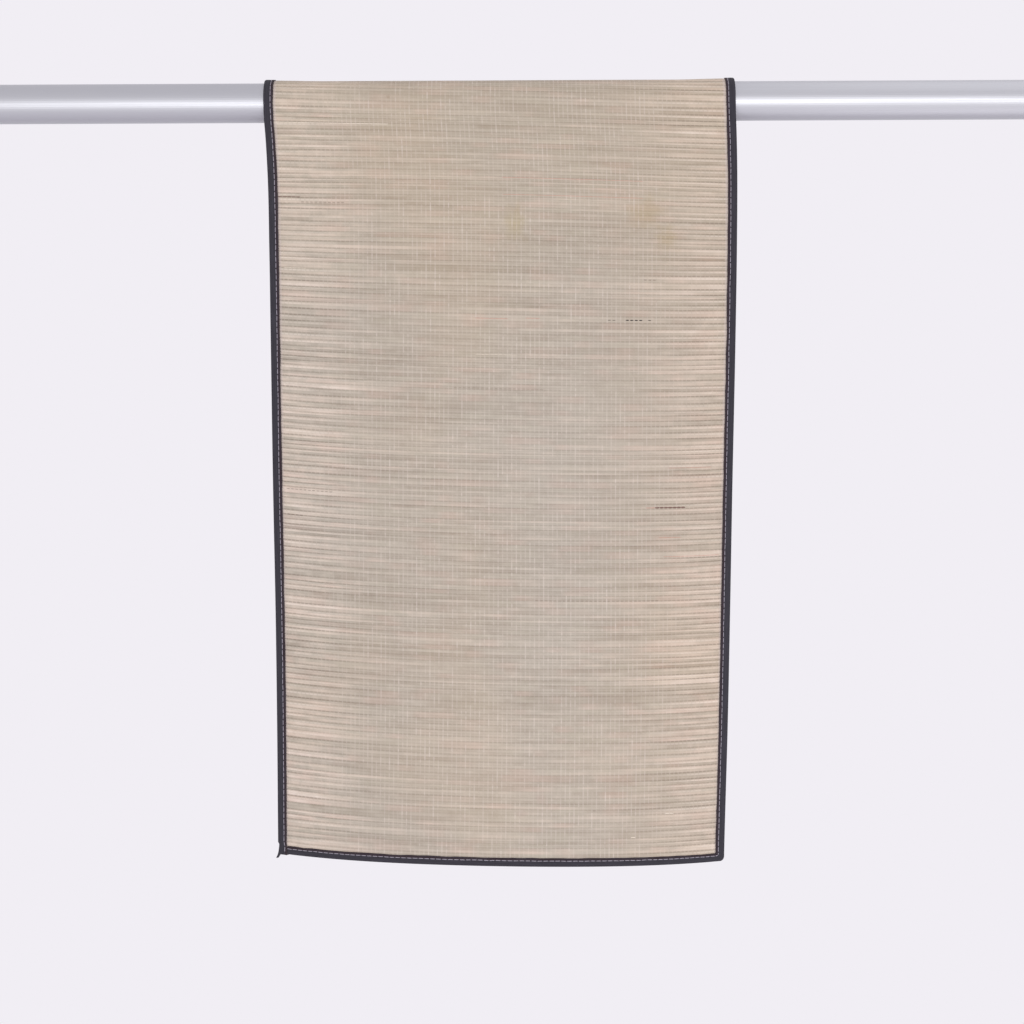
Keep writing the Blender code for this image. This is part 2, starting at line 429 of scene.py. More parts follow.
# Stains: place across and along the mat, half lengths, depth and colour.
STAINS = [
    (0.0150, 0.8130, 0.018, 0.026, 0.46, "#a5956f"),
    (0.1800, 0.8300, 0.032, 0.024, 0.42, "#a28e68"),
    (0.2080, 0.7980, 0.020, 0.018, 0.44, "#a28e68"),
    (0.0490, 0.0866, 0.009, 0.009, 0.35, "#ab978b"),
    (0.0250, 0.0662, 0.012, 0.007, 0.35, "#ab978b"),
    (-0.0984, 0.9447, 0.026, 0.004, 0.40, "#a4927a"),
    (-0.1415, 0.9711, 0.004, 0.003, 0.60, "#97846f"),
]
STAIN_RAGGED = 1.2

# Lines along the straws, all painted light and shade: where they lie, what they are counted by, half
# width as a share of that, depth, the share of it that is left near the middle, shift in the noise and
# colour. A painted highlight, a pale band on each pair's upper edge, lies a set share of a pair below
# the gap above it. Painted shade darkens the gaps between pairs and, faintly, between a pair's straws.
HIGHLIGHT_SHIFT = 0.36
LINES = [
    ("painted highlight", "pair", 0.19, 0.36, 0.20, 300.0, "#e6dacd"),
    ("gap", "gap", 0.155, 0.46, 0.46, 120.0, "#6a5b4f"),
    ("straw", "straw", 0.20, 0.15, 1.0, 160.0, "#6a5b4e"),
]

WARP_COLOUR = "#d0c5bb"
WARP_STREAK = 0.040
END_COLOUR = "#c3b6ae"
STRAW_BUMP = 0.0005


def woven_straw():
    """Dry rush, undyed and woven: a dull satin. Pairs and single straws differ in long streaks,
    painted shade darkens the gaps between pairs, most of all near the sides, a painted highlight runs
    along each pair's upper edge, and the warp shows faintly."""
    material, shader = new_finish("rush straw, dried and woven", "#c0b1a5", 0.62)
    weave = add_node(material, "ShaderNodeUVMap", {}, uv_map="weave").outputs["UV"]
    split = add_node(material, "ShaderNodeSeparateXYZ", {"Vector": weave})
    across, along = split.outputs["X"], split.outputs["Y"]
    cloth = add_node(material, "ShaderNodeUVMap", {}, uv_map="cloth").outputs["UV"]
    metres = add_node(material, "ShaderNodeSeparateXYZ", {"Vector": cloth})

    # Each pair, straw and gap has its own number, so that no two look the same.
    doubled = add_node(material, "ShaderNodeMath", {0: along, 1: 2.0}, operation="MULTIPLY").outputs[0]
    numbers = {
        "pair": add_node(material, "ShaderNodeMath", {0: along}, operation="FLOOR").outputs[0],
        "straw": add_node(material, "ShaderNodeMath", {0: doubled}, operation="FLOOR").outputs[0],
        "gap": add_node(material, "ShaderNodeMath", {0: along}, operation="ROUND").outputs[0],
    }

    def streaks(counted, length, shift, detail=2.0):
        """Noise in streaks of this length in metres, its own for each number."""
        run = add_node(material, "ShaderNodeMath", {0: across, 1: WARP / length}, operation="MULTIPLY")
        row = add_node(
            material,
            "ShaderNodeMath",
            {0: numbers[counted], 1: ROW_APART, 2: shift},
            operation="MULTIPLY_ADD",
        )
        place = add_node(material, "ShaderNodeCombineXYZ", {"X": run.outputs[0], "Y": row.outputs[0]})
        noise = add_node(
            material,
            "ShaderNodeTexNoise",
            {"Vector": place.outputs["Vector"], "Scale": 1.0, "Detail": detail, "Roughness": 0.6},
            noise_dimensions="2D",
        )
        return noise.outputs["Fac"]

    # The weave is calm in the middle and grows rough towards the sides, in tone and in contrast. The
    # streaks of tone are the straws' own; their greater contrast near the sides is painted light and
    # shade, standing in for light that grazes the curled sides.
    from_middle = add_node(material, "ShaderNodeMath", {0: across}, operation="ABSOLUTE").outputs[0]
    rough = add_node(
        material,
        "ShaderNodeMapRange",
        {"Value": from_middle, "From Min": CALM_HALF / WARP, "From Max": ROUGH_HALF / WARP},
        interpolation_type="SMOOTHSTEP",
    ).outputs["Result"]
    contrast = add_node(
        material, "ShaderNodeMapRange", {"Value": rough, "To Min": 0.55, "To Max": 1.0}
    ).outputs["Result"]
    level = add_node(
        material, "ShaderNodeMapRange", {"Value": rough, "To Min": 0.45, "To Max": 0.585}
    ).outputs["Result"]

    # Mottling breaks the streaks. Its cells are 8 by 14 mm, with finer ones down to 1 mm in them,
    # coarser than the real fibres, which are too fine to show.
    mottle_across = add_node(material, "ShaderNodeMath", {0: across, 1: 0.7}, operation="MULTIPLY")
    mottle_along = add_node(material, "ShaderNodeMath", {0: along, 1: 0.5}, operation="MULTIPLY")
    mottle_place = add_node(
        material,
        "ShaderNodeCombineXYZ",
        {"X": mottle_across.outputs[0], "Y": mottle_along.outputs[0]},
    )
    mottle = add_node(
        material,
        "ShaderNodeTexNoise",
        {"Vector": mottle_place.outputs["Vector"], "Scale": 1.0, "Detail": 3.0, "Roughness": 0.75},
        noise_dimensions="2D",
    ).outputs["Fac"]
    tone_noises = [(streaks(counted, length, shift), share) for counted, length, shift, share in STREAKS]
    for noise, share in (*tone_noises, (mottle, MOTTLE_SHARE)):
        away = add_node(material, "ShaderNodeMath", {0: noise, 1: 0.5}, operation="SUBTRACT").outputs[0]
        scaled = add_node(material, "ShaderNodeMath", {0: away, 1: share}, operation="MULTIPLY").outputs[0]
        level = add_node(
            material, "ShaderNodeMath", {0: scaled, 1: contrast, 2: level}, operation="MULTIPLY_ADD"
        ).outputs[0]
    ramp = add_node(material, "ShaderNodeValToRGB", {"Fac": level})
    tones = ramp.color_ramp.elements
    tones[0].color, tones[1].color = hex_colour(TONES[0][1]), hex_colour(TONES[-1][1])
    for step, colour in TONES[1:-1]:
        tones.new(step).color = hex_colour(colour)
    colour = ramp.outputs["Color"]

    # Faint tints: greenish and pink pairs, yellow and grey patches, and age towards one side.
    patches = add_node(
        material, "ShaderNodeTexNoise", {"Vector": cloth, "Scale": 3.2, "Detail": 2.0}, noise_dimensions="2D"
    )
    followed = {
        "pairs": streaks("pair", 0.06, 80.0, detail=1.0),
        "patches": patches.outputs["Fac"],
        "metres across": metres.outputs["X"],
        "metres along": metres.outputs["Y"],
    }
    for what, least, most, deepest, shade in TINTS:
        share = add_node(
            material,
            "ShaderNodeMapRange",
            {"Value": followed[what], "From Min": least, "From Max": most, "To Max": deepest},
            interpolation_type="SMOOTHSTEP",
        ).outputs["Result"]
        colour = add_node(
            material, "ShaderNodeMix", {0: share, 6: colour, 7: hex_colour(shade)}, data_type="RGBA"
        ).outputs[2]

    # Stains, olive and brown, with ragged edges.
    for u, q, half_across, half_along, deepest, shade in STAINS:
        offset = add_node(
            material, "ShaderNodeVectorMath", {0: cloth, 1: (u, q, 0.0)}, operation="SUBTRACT"
        )
        scaled = add_node(
            material,
            "ShaderNodeVectorMath",
            {0: offset.outputs[0], 1: (1 / half_across, 1 / half_along, 0.0)},
            operation="MULTIPLY",
        )
        ragged = add_node(
            material,
            "ShaderNodeTexNoise",
            {"Vector": scaled.outputs[0], "Scale": 1.6, "Detail": 3.0},
            noise_dimensions="2D",
        )
        away = add_node(material, "ShaderNodeVectorMath", {0: scaled.outputs[0]}, operation="LENGTH")
        reach = add_node(
            material,
            "ShaderNodeMath",
            {0: ragged.outputs["Fac"], 1: STAIN_RAGGED, 2: away.outputs["Value"]},
            operation="MULTIPLY_ADD",
        )
        share = add_node(
            material,
            "ShaderNodeMapRange",
            {"Value": reach.outputs[0], "From Min": 1.7, "From Max": 0.7, "To Max": deepest},
            interpolation_type="SMOOTHSTEP",
        ).outputs["Result"]
        colour = add_node(
            material, "ShaderNodeMix", {0: share, 6: colour, 7: hex_colour(shade)}, data_type="RGBA"
        ).outputs[2]

    # A warp thread crosses at every whole number. It covers the lines below it.
    from_thread = add_node(material, "ShaderNodeMath", {0: across, 1: 0.5}, operation="PINGPONG").outputs[0]
    thread = add_node(
        material,
        "ShaderNodeMapRange",
        {"Value": from_thread, "From Min": 0.05, "From Max": 0.20, "To Min": 1.0, "To Max": 0.0},
        interpolation_type="SMOOTHSTEP",
    ).outputs["Result"]
    crossed = add_node(
        material, "ShaderNodeMath", {0: thread, 1: -0.55, 2: 1.0}, operation="MULTIPLY_ADD"
    ).outputs[0]

    # Lines of painted light and shade: a painted highlight along each pair's upper edge, painted shade in
    # the gap beside it and a faint painted shade between its straws.
    highlight_place = add_node(material, "ShaderNodeMath", {0: along, 1: HIGHLIGHT_SHIFT}, operation="ADD")
    places = {"painted highlight": highlight_place.outputs[0], "gap": along, "straw": doubled}
    for where, counted, width, deepest, calm, shift, shade in LINES:
        from_line = add_node(material, "ShaderNodeMath", {0: places[where], 1: 0.5}, operation="PINGPONG")
        line = add_node(
            material,
            "ShaderNodeMapRange",
            {
                "Value": from_line.outputs[0],
                "From Min": width / 3,
                "From Max": width,
                "To Min": 1.0,
                "To Max": 0.0,
            },
            interpolation_type="SMOOTHSTEP",
        ).outputs["Result"]
        depth = add_node(
            material,
            "ShaderNodeMapRange",
            {"Value": streaks(counted, 0.25, shift), "From Min": 0.28, "From Max": 0.64, "To Max": deepest},
        ).outputs["Result"]
        reach = add_node(
            material, "ShaderNodeMapRange", {"Value": rough, "To Min": calm, "To Max": 1.0}
        ).outputs["Result"]
        share = line
        for factor in (depth, reach, crossed):
            product = add_node(material, "ShaderNodeMath", {0: share, 1: factor}, operation="MULTIPLY")
            share = product.outputs[0]
        colour = add_node(
            material, "ShaderNodeMix", {0: share, 6: colour, 7: hex_colour(shade)}, data_type="RGBA"
        ).outputs[2]

    # Warp threads: pale, and stronger or weaker from crossing to crossing. They fade near the sides.
    warp_number = add_node(material, "ShaderNodeMath", {0: across}, operation="ROUND").outputs[0]
    warp_run = add_node(
        material, "ShaderNodeMath", {0: along, 1: PAIR / WARP_STREAK}, operation="MULTIPLY"
    ).outputs[0]
    warp_row = add_node(
        material, "ShaderNodeMath", {0: warp_number, 1: WARP_APART}, operation="MULTIPLY"
    ).outputs[0]
    warp_place = add_node(material, "ShaderNodeCombineXYZ", {"X": warp_row, "Y": warp_run})
    warp_noise = add_node(
        material,
        "ShaderNodeTexNoise",
        {"Vector": warp_place.outputs["Vector"], "Scale": 1.0, "Detail": 2.0},
        noise_dimensions="2D",
    )
    warp_show = add_node(
        material,
        "ShaderNodeMapRange",
        {"Value": warp_noise.outputs["Fac"], "From Min": 0.25, "From Max": 0.75, "To Max": 0.36},
    ).outputs["Result"]
    inside = add_node(
        material, "ShaderNodeMapRange", {"Value": rough, "To Min": 1.0, "To Max": 0.10}
    ).outputs["Result"]
    crossing_place = add_node(
        material, "ShaderNodeCombineXYZ", {"X": warp_number, "Y": numbers["straw"]}
    )
    crossing = add_node(
        material,
        "ShaderNodeTexWhiteNoise",
        {"Vector": crossing_place.outputs["Vector"]},
        noise_dimensions="2D",
    )
    crossing_show = add_node(
        material, "ShaderNodeMapRange", {"Value": crossing.outputs["Value"], "To Min": 0.3, "To Max": 1.5}
    ).outputs["Result"]
    pale = thread
    for factor in (warp_show, crossing_show, inside):
        product = add_node(material, "ShaderNodeMath", {0: pale, 1: factor}, operation="MULTIPLY")
        pale = product.outputs[0]
    colour = add_node(
        material, "ShaderNodeMix", {0: pale, 6: colour, 7: hex_colour(WARP_COLOUR)}, data_type="RGBA"
    ).outputs[2]

    # The straws' ends are pressed flat and even beside the tape.
    straw_end = add_node(
        material,
        "ShaderNodeMapRange",
        {
            "Value": from_middle,
            "From Min": (HALF_WIDTH - TAPE_WIDTH - 0.0045) / WARP,
            "From Max": (HALF_WIDTH - TAPE_WIDTH - 0.0015) / WARP,
            "To Max": 0.65,
        },
        interpolation_type="SMOOTHSTEP",
    ).outputs["Result"]
    colour = add_node(
        material, "ShaderNodeMix", {0: straw_end, 6: colour, 7: hex_colour(END_COLOUR)}, data_type="RGBA"
    ).outputs[2]
    material.node_tree.links.new(colour, shader.inputs["Base Color"])

    # Each straw of a pair is a little rounded, and a thread pinches it where it crosses.
    from_straw = add_node(material, "ShaderNodeMath", {0: doubled, 1: 0.5}, operation="PINGPONG").outputs[0]
    roundness = add_node(
        material,
        "ShaderNodeMapRange",
        {"Value": from_straw, "From Min": 0.0, "From Max": 0.40},
        interpolation_type="SMOOTHERSTEP",
    ).outputs["Result"]
    pinch = add_node(
        material, "ShaderNodeMath", {0: thread, 1: -0.25, 2: roundness}, operation="MULTIPLY_ADD"
    ).outputs[0]
    bump = add_node(material, "ShaderNodeBump", {"Height": pinch, "Strength": 0.5, "Distance": STRAW_BUMP})
    material.node_tree.links.new(bump.outputs["Normal"], shader.inputs["Normal"])
    return material


straw_mat = build_mat(woven_straw())
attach(straw_mat, "root")
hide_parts("mat")


# Odd straws. A few slivers of blackened, browned, reddish or bleached rush lie among the others,
# woven in with them. Each is a row of flat beads from warp thread to warp thread.
SLIVER_LIFT = 0.00115
SLIVER_BULGE = 0.00022

# Rush fibres are really about 0.1 mm wide. They are drawn at 0.4 mm, so that they show.
FIBRE = 0.0004
FIBRE_LENGTH = 0.008

# For each tone: its colour, the room left at the threads, which is negative where the beads run
# together, and its slivers from and to places across, at a place along, with their widths.
FROM, TO, AT, WIDTH = range(4)
SLIVERS = {
    "blackened": (
        "#2b2420",
        0.0010,
        [
            (0.1510, 0.1725, 0.6924, 0.0015),
            (0.1315, 0.1390, 0.6918, 0.0006),
            (0.1815, 0.1875, 0.6928, 0.0008),
        ],
    ),
    "browned": (
        "#6a4c42",
        -0.0012,
        [
            (0.1924, 0.2300, 0.4556, 0.0018),
            (-0.2880, -0.2600, 0.8431, 0.0009),
        ],
    ),
    "dulled": (
        "#85766a",
        0.0010,
        [
            (-0.0670, 0.0470, 0.6023, 0.0005),
            (0.0400, 0.1960, 0.3356, 0.0007),
            (-0.2830, -0.2220, 0.4699, 0.0008),
            (-0.2840, -0.2620, 0.4380, 0.0008),
            (-0.2620, -0.2060, 0.8365, 0.0007),
            (0.1120, 0.1180, 0.0705, 0.0008),
            (0.1740, 0.1895, 0.7441, 0.0009),
        ],
    ),
    "reddish": (
        "#bb8d7e",
        -0.0020,
        [
            (0.0000, 0.1745, 0.8699, 0.0006),
            (0.0000, 0.1745, 0.8483, 0.0006),
            (-0.0380, 0.0000, 0.6910, 0.0007),
            (0.0275, 0.0405, 0.6921, 0.0007),
            (0.2106, 0.2697, 0.5069, 0.0005),
            (0.1979, 0.2286, 0.4176, 0.0006),
            (0.2059, 0.2811, 0.3942, 0.0006),
            (0.1793, 0.1924, 0.4548, 0.0009),
        ],
    ),
    "bleached": (
        "#e0d5c4",
        -0.0020,
        [
            (-0.0355, 0.0150, 0.6450, 0.0005),
            (0.2090, 0.2200, 0.0657, 0.0010),
            (0.1640, 0.1715, 0.0364, 0.0009),
            (-0.2880, -0.1450, 0.9370, 0.0008),
            (-0.2860, -0.2560, 0.7530, 0.0007),
        ],
    ),
}


def rush_sliver(tone, colour):
    """Dry rush of an odd colour: dull like the rest, with paler and darker fibres along it."""
    material, shader = new_finish(f"rush straw, {tone}", colour, 0.65)
    place = add_node(material, "ShaderNodeTexCoord", {}).outputs["Object"]
    scale = (1 / FIBRE_LENGTH, 1 / FIBRE, 1 / FIBRE)
    stretched = add_node(material, "ShaderNodeMapping", {"Vector": place, "Scale": scale})
    fibres = add_node(
        material, "ShaderNodeTexNoise", {"Vector": stretched.outputs["Vector"], "Scale": 1.0, "Detail": 2.0}
    ).outputs["Fac"]
    value = add_node(
        material,
        "ShaderNodeMapRange",
        {"Value": fibres, "From Min": 0.3, "From Max": 0.7, "To Min": 0.86, "To Max": 1.14},
    ).outputs["Result"]
    shaded = add_node(
        material, "ShaderNodeHueSaturation", {"Color": hex_colour(colour), "Value": value}
    ).outputs["Color"]
    material.node_tree.links.new(shaded, shader.inputs["Base Color"])
    bump = add_node(material, "ShaderNodeBump", {"Height": fibres, "Strength": 0.3, "Distance": 0.0001})
    material.node_tree.links.new(bump.outputs["Normal"], shader.inputs["Normal"])
    return material


def build_slivers(tone, room, slivers, material):
    """Flat beads in the spaces between the warp threads, along the straws' own lines."""
    middles, ends, widths = [], [], []
    for sliver in slivers:
        between = (sliver[FROM] + sliver[TO]) / 2
        start = 2 * sliver[AT] - straw_place(between, sliver[AT])
        for cell in range(math.ceil(sliver[FROM] / WARP), math.floor(sliver[TO] / WARP) + 1):
            u = (cell + 0.5) * WARP
            middles.append((u, straw_place(u, start)))
            ends.append((u + WARP / 4, straw_place(u + WARP / 4, start)))
            widths.append(sliver[WIDTH])
    middles = np.array(middles, float)
    ends = np.array(ends, float)
    lift = np.full(len(middles), SLIVER_LIFT)
    centres = off_cloth(*middles.T, lift)
    tops = off_cloth(*middles.T, lift + 0.001)
    tips = off_cloth(*ends.T, lift)
    shape = bmesh.new()
    for centre, top, tip, width in zip(centres, tops, tips, widths):
        along = Vector(tip - centre).normalized()
        normal = Vector(top - centre).normalized()
        turn = Matrix((along, normal.cross(along), normal)).transposed().to_4x4()
        size = Matrix.Diagonal(((WARP - room) / 2, width / 2, SLIVER_BULGE, 1.0))
        bead = Matrix.Translation(centre) @ turn @ size
        bmesh.ops.create_uvsphere(shape, u_segments=8, v_segments=5, radius=1.0, matrix=bead)
    return add_piece(f"{tone}_slivers", shape, material)


for tone, (colour, room, slivers) in SLIVERS.items():
    piece = build_slivers(tone, room, slivers, rush_sliver(tone, colour))
    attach(piece, "root")


# Binding. One strip of charcoal cotton tape is folded over every edge of the mat and sewn through.
# It turns the corners and ends in a short loose tail, pinched in, at the front's lower left.
END_WIDTH = 0.0110
SIDE_WIDTH_HIGH = 0.0124
SIDE_WIDTH_LOW = 0.0138
CORNER_RADIUS = 0.0060
MITRE_RADIUS = 0.0006
CORNER_STEPS = 9
CORNER_ROOM = 0.0010
LEG = CLOTH / 2 + GAP + TAPE / 2
FOLD_CENTRE = 0.0021
FOLD_END = 0.0030
FOLD_STEPS = 6
STITCH_FROM_INNER = 0.0035
STITCH_PITCH = 0.0075
STITCH_DIP = 0.00025
EDGE_WAVE = 0.00022
EDGE_WAVE_STEP = 0.012
CREST_PUCKER = 0.0013
CREST_PUCKER_REACH = 0.004

# The tape's ribs are really about 0.5 mm apart. They are drawn at about 1 mm, so that they show.
TAPE_COLOUR = "#29272e"
TAPE_INNER_COLOUR = "#281a20"
LINT_COLOUR = "#403e48"
RIB = 0.0011
CROSS_RIB = 0.0009
LINT_WIDTH = 0.0012
LINT_LENGTH = 0.030
INNER_BLUR = 0.0004

# Loose tail: heights of the tape's inner and outer edges above the mat's end, how far the outer
# edge stands past the mat's side, and how far its outermost part reaches down as a point.
INNER_HEIGHT, OUTER_HEIGHT, FLARE, POINT = range(4)
TAIL_SHIFT = 0.0008
TAIL_SHIFT_EASE = 0.003
TAIL_ROOM = 0.0015
TAIL_POINT_FROM = 0.0062
TAIL_POINT_EASE = 0.0045
TAIL_SECTIONS = [
    (0.0145, 0.0145, 0.0000, 0.0000),
    (0.0136, 0.0136, -0.0006, 0.0000),
    (0.0126, 0.0126, -0.0016, 0.0000),
    (0.0100, 0.0100, -0.0016, 0.0000),
    (0.0072, 0.0072, -0.0012, 0.0000),
    (0.0048, 0.0048, -0.0008, 0.0003),
    (0.0026, 0.0026, -0.0002, 0.0012),
    (0.0006, 0.0008, 0.0010, 0.0030),
    (-0.0010, -0.0008, 0.0032, 0.0056),
]


def side_width(q):
    """Width of the tape's front along a side. It was folded unevenly, so it grows downwards."""
    return SIDE_WIDTH_LOW + (SIDE_WIDTH_HIGH - SIDE_WIDTH_LOW) * ease(q / FRONT_DROP)


def tape_run(start, end, inward):
    """Stations along a straight edge, three to a stitch: outer edge, inner edge and width."""
    start, end, inward = (np.array(value, float) for value in (start, end, inward))
    count = 3 * round(np.linalg.norm(end - start) / STITCH_PITCH)
    stations = []
    for step in range(count + 1):
        outer = start + (end - start) * step / count
        width = END_WIDTH if inward[0] == 0 else float(side_width(outer[1]))
        stations.append((outer, outer + width * inward, width))
    return stations


def turned_corner(corner, enter, leave, enter_width, leave_width):
    """Stations where the tape turns a corner, in even steps of the turn."""
    corner, enter, leave = (np.array(value, float) for value in (corner, enter, leave))
    mitre = corner + enter_width * leave - leave_width * enter
    stations = []
    for turn in np.linspace(0.0, math.pi / 2, CORNER_STEPS):
        sweep = (1 - math.cos(turn)) * leave - (1 - math.sin(turn)) * enter
        width = enter_width + (leave_width - enter_width) * math.sin(turn) ** 2
        stations.append((corner + CORNER_RADIUS * sweep, mitre + MITRE_RADIUS * sweep, width))
    return stations


def tape_pieces():
    """Straight runs and corners of the tape, from the front's lower left to its tail."""
    w, length = HALF_WIDTH, MAT_LENGTH
    low, high, end = SIDE_WIDTH_LOW, SIDE_WIDTH_HIGH, END_WIDTH
    room = CORNER_ROOM
    tail = []
    for row in TAIL_SECTIONS:
        height = row[INNER_HEIGHT]
        shift = TAIL_SHIFT * ease((TAIL_SECTIONS[0][INNER_HEIGHT] - height) / TAIL_SHIFT_EASE)
        outer = np.array([-w - row[FLARE], row[OUTER_HEIGHT]])
        tail.append((outer, np.array([-w + low + shift, height]), low))
    runs = [
        tape_run((-w + low + TAIL_SHIFT + GAP, 0), (w - low - room, 0), (0, 1)),
        tape_run((w, end + room), (w, length - end - room), (-1, 0)),
        tape_run((w - high - room, length), (-w + high + room, length), (0, -1)),
        tape_run((-w, length - end - room), (-w, TAIL_SECTIONS[0][INNER_HEIGHT] + TAIL_ROOM), (1, 0)),
    ]
    corners = [
        turned_corner((w, 0), (1, 0), (0, 1), end, low),
        turned_corner((w, length), (0, 1), (-1, 0), high, end),
        turned_corner((-w, length), (-1, 0), (0, -1), end, high),
        tail,
    ]
    return runs, corners


def stitch_place(station):
    """Where the seam crosses a station."""
    outer, inner, width = station
    share = 1 - STITCH_FROM_INNER / (width - FOLD_END)
    inset = FOLD_END + share * (np.linalg.norm(inner - outer) - FOLD_END)
    return outer + (inner - outer) / np.linalg.norm(inner - outer) * inset


def build_binding(runs, corners, material):
    """Tape folded round the mat's edge, pulled down along its seam, its inner edge uneven."""
    stations, dips, points = [], [], []
    # The tape dips most at a needle hole, which is at every third station of a run.
    for run, corner in zip(runs, corners):
        stations += run + corner
        dips += [1.6 if index % 3 == 0 else 1.0 for index in range(len(run))] + [1.3] * len(corner)
        points += [0.0] * len(run)
        points += [row[POINT] for row in TAIL_SECTIONS] if corner is corners[-1] else [0.0] * len(corner)
    outers = np.array([station[0] for station in stations])
    steps = np.linalg.norm(np.diff(outers, axis=0), axis=1)
    travelled = np.append(0.0, np.cumsum(steps))
    chance = np.random.default_rng(21)
    knots = np.arange(0.0, travelled[-1] + EDGE_WAVE_STEP, EDGE_WAVE_STEP)
    waves = np.interp(travelled, knots, chance.normal(0.0, EDGE_WAVE, len(knots)))
    crest = FRONT_DROP - SKEW * HALF_WIDTH + math.pi / 2 * BEND_RADIUS
    turns = np.linspace(0.0, math.pi, FOLD_STEPS + 1)

    u, q, out, along, across = [], [], [], [], []
    for (outer, inner, width), dip, point, distance, wave in zip(stations, dips, points, travelled, waves):
        span = np.linalg.norm(inner - outer)
        inward = (inner - outer) / span
        seam = 1 - STITCH_FROM_INNER / (width - FOLD_END)
        if outer[0] < 0:
            wave += CREST_PUCKER * math.exp(-(((outer[1] - crest) / CREST_PUCKER_REACH) ** 2))
        # From the inner edge to the fold: the tape swells a little on both sides of its seam.
        flat = [(1.0, -0.00012), ((1 + seam) / 2, 0.00004), (seam, -STITCH_DIP * dip)]
        flat += [(seam * 0.62, 0.00006), (seam * 0.25, 0.00010)]
        front = []
        for share, rise in flat:
            inset = FOLD_END + share * (span - FOLD_END) + (wave if share == 1.0 else 0.0)
            front.append((inset, LEG + rise, span - inset))
        fold = []
        for turn in turns:
            wrapped = LEG * min(turn, math.pi - turn)
            inset = FOLD_CENTRE - LEG * math.sin(turn)
            fold.append((inset, LEG * math.cos(turn), span - FOLD_CENTRE + wrapped))
        back = [(inset, -lift, depth) for inset, lift, depth in reversed(front)]
        for inset, lift, depth in front + fold + back:
            place = outer + inward * inset
            u.append(place[0])
            q.append(place[1] - point * ease((TAIL_POINT_FROM - inset) / TAIL_POINT_EASE))
            out.append(lift)
            along.append(distance)
            across.append(depth)
    columns = 2 * len(flat) + FOLD_STEPS + 1
    places = off_cloth(np.array(u), np.array(q), np.array(out)).reshape(-1, columns, 3)

    rows = len(places)
    shape = bmesh.new()
    bmesh.ops.create_grid(shape, x_segments=columns - 1, y_segments=rows - 1, size=1.0)
    order = {}
    for vert in shape.verts:
        column = round((vert.co.x + 1) / 2 * (columns - 1))
        row = round((vert.co.y + 1) / 2 * (rows - 1))
        order[vert] = row * columns + column
        vert.co = places[row, column]
    tape = shape.loops.layers.uv.new("tape")
    for face in shape.faces:
        for loop in face.loops:
            index = order[loop.vert]
            loop[tape].uv = (along[index], across[index])
    piece = add_piece("cotton_binding", shape, material)
    solid = piece.modifiers.new("Thickness", "SOLIDIFY")
    solid.thickness = TAPE
    solid.offset = 0.0
    solid.use_even_offset = True
    return piece


def cotton_tape():
    """Charcoal cotton tape, woven in fine ribs along its length: dull, darker and browner towards its
    inner edge, and a little greyed by lint."""
    material, shader = new_finish("cotton tape, woven and dyed", TAPE_COLOUR, 0.90)
    place = add_node(material, "ShaderNodeUVMap", {}, uv_map="tape").outputs["UV"]
    split = add_node(material, "ShaderNodeSeparateXYZ", {"Vector": place})
    along, across = split.outputs["X"], split.outputs["Y"]

    # The strip inside the seam is darker and browner.
    outside = add_node(
        material,
        "ShaderNodeMapRange",
        {
            "Value": across,
            "From Min": STITCH_FROM_INNER - INNER_BLUR,
            "From Max": STITCH_FROM_INNER + INNER_BLUR,
        },
    ).outputs["Result"]
    base = add_node(
        material,
        "ShaderNodeMix",
        {0: outside, 6: hex_colour(TAPE_INNER_COLOUR), 7: hex_colour(TAPE_COLOUR)},
        data_type="RGBA",
    ).outputs[2]

    # Lint greys it in short streaks along the ribs.
    stretched = add_node(
        material,
        "ShaderNodeVectorMath",
        {0: place, 1: (1 / LINT_LENGTH, 1 / LINT_WIDTH, 0.0)},
        operation="MULTIPLY",
    ).outputs[0]
    streaks = add_node(
        material,
        "ShaderNodeTexNoise",
        {"Vector": stretched, "Scale": 1.0, "Detail": 2.0},
        noise_dimensions="2D",
    ).outputs["Fac"]
    lint = add_node(
        material,
        "ShaderNodeMapRange",
        {"Value": streaks, "From Min": 0.40, "From Max": 0.75, "To Max": 0.35},
    ).outputs["Result"]
    colour = add_node(
        material, "ShaderNodeMix", {0: lint, 6: base, 7: hex_colour(LINT_COLOUR)}, data_type="RGBA"
    ).outputs[2]
    material.node_tree.links.new(colour, shader.inputs["Base Color"])

    # The ribs, and the threads across them, break up the light.
    weave = 0.0
    for run, spacing in ((across, RIB), (along, CROSS_RIB)):
        threads = add_node(
            material, "ShaderNodeMath", {0: run, 1: 2 * math.pi / spacing}, operation="MULTIPLY"
        ).outputs[0]
        wave = add_node(material, "ShaderNodeMath", {0: threads}, operation="SINE").outputs[0]
        weave = add_node(material, "ShaderNodeMath", {0: wave, 1: weave}, operation="ADD").outputs[0]
    bump = add_node(material, "ShaderNodeBump", {"Height": weave, "Strength": 0.35, "Distance": 0.0001})
    material.node_tree.links.new(bump.outputs["Normal"], shader.inputs["Normal"])
    return material


tape_runs, tape_corners = tape_pieces()
binding = build_binding(tape_runs, tape_corners, cotton_tape())
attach(binding, "root")
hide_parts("binding")


# Stitches. One seam of lockstitches in pale lilac-grey thread runs round the tape, 4 mm from its
# inner edge, and shows on both faces as slim, tight stitches, each close to the next.
THREAD = 0.00085
STITCH_GAP = 0.0012
STITCH_SLIP = 0.00012
STITCH_LIFT = CLOTH / 2 + GAP + TAPE + 0.00012
STITCH_BATCH = 32
THREAD_COLOUR = "#9a949e"

# The thread's plies are really about 0.3 mm apart. They are drawn at 1.2 mm, so that they show.
PLY = 0.0012


